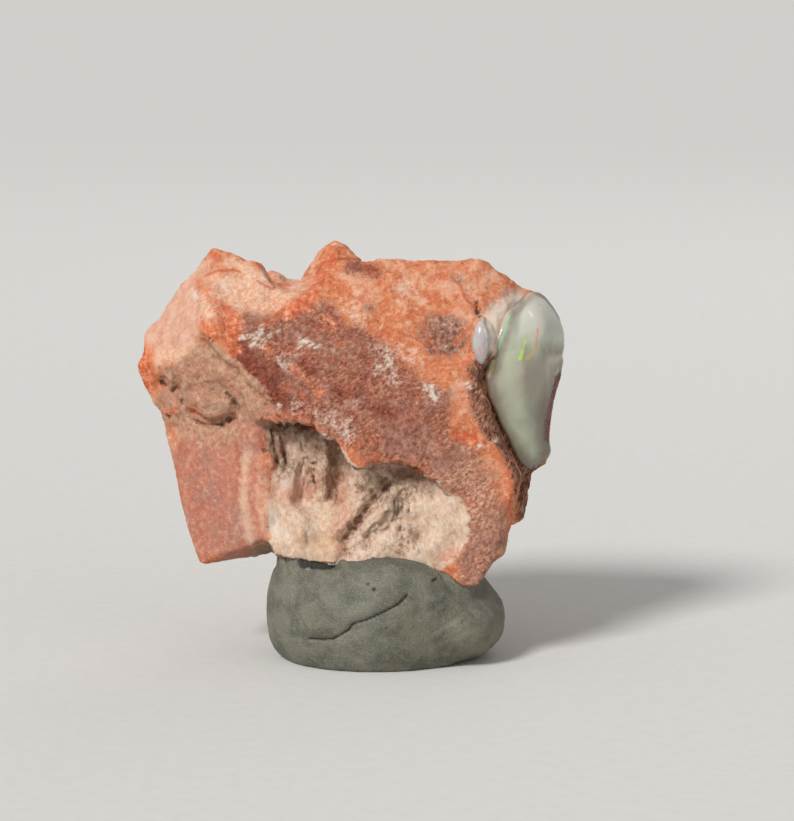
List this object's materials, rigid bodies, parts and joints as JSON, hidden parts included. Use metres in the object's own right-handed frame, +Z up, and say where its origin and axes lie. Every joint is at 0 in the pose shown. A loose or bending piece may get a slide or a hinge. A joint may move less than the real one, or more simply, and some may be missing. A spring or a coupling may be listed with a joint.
{
  "type": "rough boulder opal",
  "caption": "Broken lump of banded ironstone with a patch of precious opal on one end, held upright by a squashed lump of putty.",
  "frame": {"origin": "middle of the putty's flat foot, on the surface that it stands on", "axes": "+X to the right along the stone's length, towards the opal, +Y to the back, +Z up"},
  "size_m": [0.0322, 0.0195, 0.0307],
  "materials": {
    "ironstone": "matt, grainy, orange to purple-red crust over cream sandy stone",
    "opal": "glossy and milky, pale green-grey with flashes of colour",
    "putty": "satin olive-grey, finely speckled"
  },
  "bodies": {
    "root": {"host_rock": "ironstone", "opal_seam": "opal", "opal_bead": "opal", "putty_mount": "putty"}
  },
  "joints": []
}
